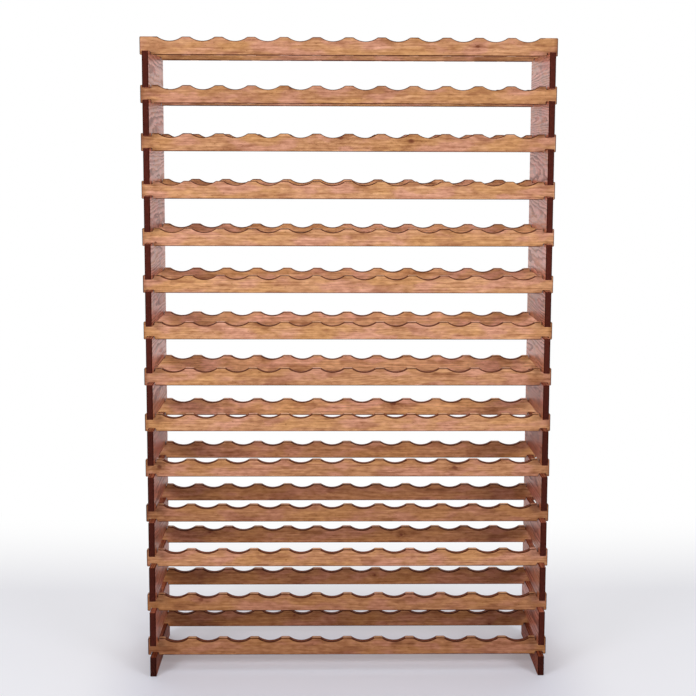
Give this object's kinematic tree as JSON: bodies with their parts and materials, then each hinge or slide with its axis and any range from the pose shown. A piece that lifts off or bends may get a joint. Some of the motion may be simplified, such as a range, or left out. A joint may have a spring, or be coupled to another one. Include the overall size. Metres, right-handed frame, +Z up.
{
  "type": "wine rack",
  "caption": "Tall free-standing stacking wooden wine rack: pairs of scalloped rails on loose side boards, open front, back and top.",
  "frame": {"origin": "on the floor, under the middle of the rack", "axes": "+Z up, +X to the right along the rails, -Y towards the front, where bottles go in"},
  "size_m": [1.181, 0.33, 1.856],
  "materials": {
    "rail_pine": "stained pine under satin varnish, warm honey brown",
    "board_pine": "stained pine under glossy varnish, reddish brown, dark end grain",
    "dowel_beech": "bare beech"
  },
  "bodies": {
    "root": {"front_rail_01": "rail_pine", "front_rail_02": "rail_pine", "front_rail_03": "rail_pine", "front_rail_04": "rail_pine", "front_rail_05": "rail_pine", "front_rail_06": "rail_pine", "front_rail_07": "rail_pine", "front_rail_08": "rail_pine", "front_rail_09": "rail_pine", "front_rail_10": "rail_pine", "front_rail_11": "rail_pine", "front_rail_12": "rail_pine", "front_rail_13": "rail_pine", "front_rail_14": "rail_pine", "rear_rail_01": "rail_pine", "rear_rail_02": "rail_pine", "rear_rail_03": "rail_pine", "rear_rail_04": "rail_pine", "rear_rail_05": "rail_pine", "rear_rail_06": "rail_pine", "rear_rail_07": "rail_pine", "rear_rail_08": "rail_pine", "rear_rail_09": "rail_pine", "rear_rail_10": "rail_pine", "rear_rail_11": "rail_pine", "rear_rail_12": "rail_pine", "rear_rail_13": "rail_pine", "rear_rail_14": "rail_pine", "left_board_01": "board_pine", "left_board_02": "board_pine", "left_board_03": "board_pine", "left_board_04": "board_pine", "left_board_05": "board_pine", "left_board_06": "board_pine", "left_board_07": "board_pine", "left_board_08": "board_pine", "left_board_09": "board_pine", "left_board_10": "board_pine", "left_board_11": "board_pine", "left_board_12": "board_pine", "left_board_13": "board_pine", "right_board_01": "board_pine", "right_board_02": "board_pine", "right_board_03": "board_pine", "right_board_04": "board_pine", "right_board_05": "board_pine", "right_board_06": "board_pine", "right_board_07": "board_pine", "right_board_08": "board_pine", "right_board_09": "board_pine", "right_board_10": "board_pine", "right_board_11": "board_pine", "right_board_12": "board_pine", "right_board_13": "board_pine", "left_foot": "board_pine", "right_foot": "board_pine", "locating_dowels": "dowel_beech"}
  },
  "joints": []
}
